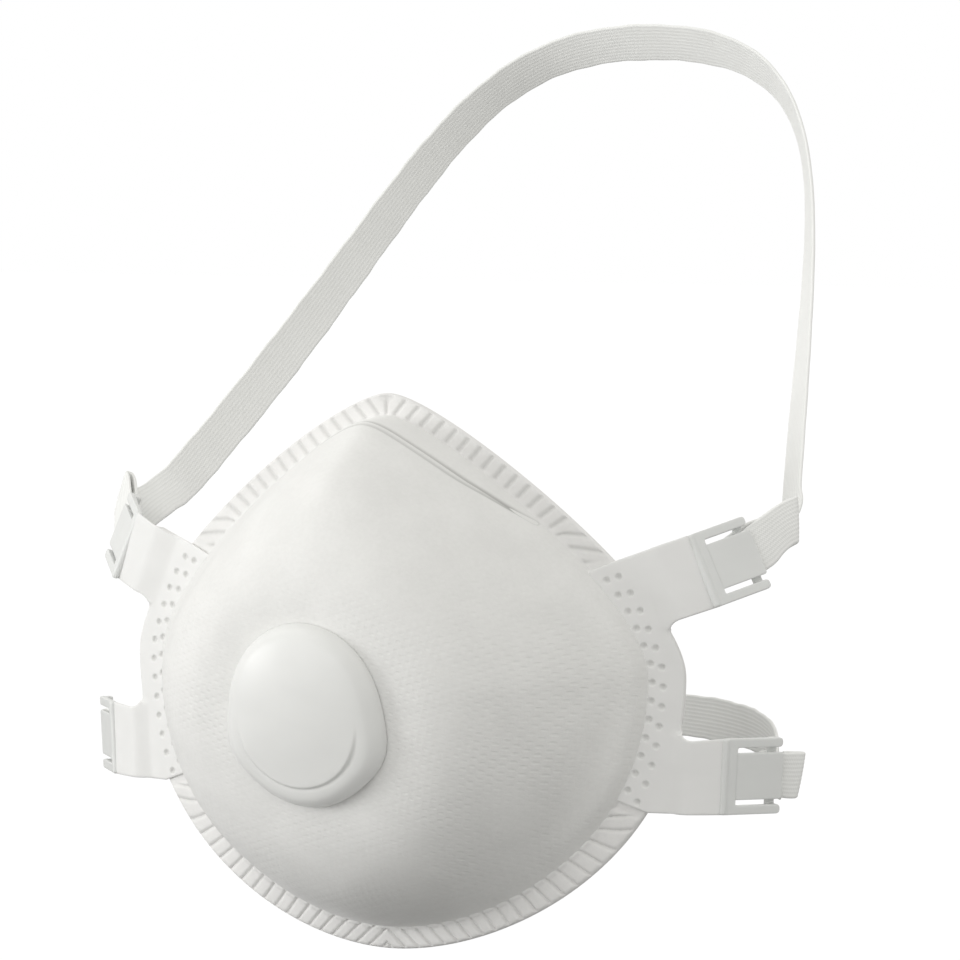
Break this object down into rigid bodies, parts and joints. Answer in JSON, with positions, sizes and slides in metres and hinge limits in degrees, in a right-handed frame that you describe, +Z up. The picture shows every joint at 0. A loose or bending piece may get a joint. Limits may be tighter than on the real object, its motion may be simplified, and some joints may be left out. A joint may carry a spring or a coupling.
{
  "type": "disposable dust mask",
  "caption": "Moulded cup dust mask with an exhalation valve, a crimped brim, side strap carriers, clamp buckles and two elastic straps.",
  "frame": {"origin": "middle of the brim plane, halfway between nose and chin edges", "axes": "+Z up to the nose, -Y forward through the exhalation valve, +X to the right seen from the front"},
  "size_m": [0.196, 0.2294, 0.2372],
  "materials": {
    "outer_web": "soft matte nonwoven",
    "shell_web": "stiff moulded fibre",
    "coarse_web": "lofty fibre web",
    "fine_web": "fine fibre web",
    "lining_web": "soft nonwoven",
    "clip_metal": "plain",
    "foam": "soft foam",
    "carrier": "satin translucent white",
    "buckle_plastic": "translucent, slightly blue",
    "elastic": "ribbed woven elastic",
    "valve_plastic": "satin",
    "cover_plastic": "satin translucent white",
    "flap_rubber": "soft"
  },
  "bodies": {
    "root": {"outer_cover": "outer_web", "support_shell": "shell_web", "coarse_filter": "coarse_web", "fine_filter": "fine_web", "inner_lining": "lining_web", "nose_clip": "clip_metal", "nose_foam": "foam", "wing_right": "carrier", "wing_left": "carrier", "buckle_upper_right": "buckle_plastic", "buckle_upper_left": "buckle_plastic", "buckle_lower_right": "buckle_plastic", "buckle_lower_left": "buckle_plastic", "head_strap_end_right": "elastic", "head_strap_end_left": "elastic", "neck_strap_end_right": "elastic", "neck_strap_end_left": "elastic", "valve_seat": "valve_plastic", "valve_ring": "valve_plastic", "valve_cover": "cover_plastic"},
    "flap": {"valve_flap": "flap_rubber"},
    "tongue_upper_right": {"tongue_upper_right": "buckle_plastic"},
    "tongue_upper_left": {"tongue_upper_left": "buckle_plastic"},
    "tongue_lower_right": {"tongue_lower_right": "buckle_plastic"},
    "tongue_lower_left": {"tongue_lower_left": "buckle_plastic"},
    "head_strap": {"head_strap": "elastic"},
    "neck_strap": {"neck_strap": "elastic"}
  },
  "joints": [
    {"name": "valve_flap_hinge", "type": "hinge", "parent": "root", "child": "flap", "pos_m": [0, -0.04807, 0.00733], "axis": [-1, 0, 0], "range_deg": [0, 9], "stiffness_Nm_per_rad": 0.002},
    {"name": "tongue_upper_right_hinge", "type": "hinge", "parent": "root", "child": "tongue_upper_right", "pos_m": [0.08408, 0.01417, 0.02921], "axis": [0.4067, 0, -0.9135], "range_deg": [0, 50], "stiffness_Nm_per_rad": 0.01},
    {"name": "tongue_upper_left_hinge", "type": "hinge", "parent": "root", "child": "tongue_upper_left", "pos_m": [-0.08408, 0.01417, 0.02921], "axis": [0.4067, 0, 0.9135], "range_deg": [0, 50], "stiffness_Nm_per_rad": 0.01},
    {"name": "tongue_lower_right_hinge", "type": "hinge", "parent": "root", "child": "tongue_lower_right", "pos_m": [0.08943, 0.01582, -0.02346], "axis": [-0.0523, 0, -0.9986], "range_deg": [0, 50], "stiffness_Nm_per_rad": 0.01},
    {"name": "tongue_lower_left_hinge", "type": "hinge", "parent": "root", "child": "tongue_lower_left", "pos_m": [-0.08943, 0.01582, -0.02346], "axis": [-0.0523, 0, 0.9986], "range_deg": [0, 50], "stiffness_Nm_per_rad": 0.01},
    {"name": "head_strap_swing", "type": "hinge", "parent": "root", "child": "head_strap", "pos_m": [0, 0.0556, 0.043], "axis": [1, 0, 0], "range_deg": [-40, 55], "stiffness_Nm_per_rad": 0.2},
    {"name": "neck_strap_swing", "type": "hinge", "parent": "root", "child": "neck_strap", "pos_m": [0, 0.042, -0.026], "axis": [1, 0, 0], "range_deg": [-45, 20], "stiffness_Nm_per_rad": 0.2}
  ]
}
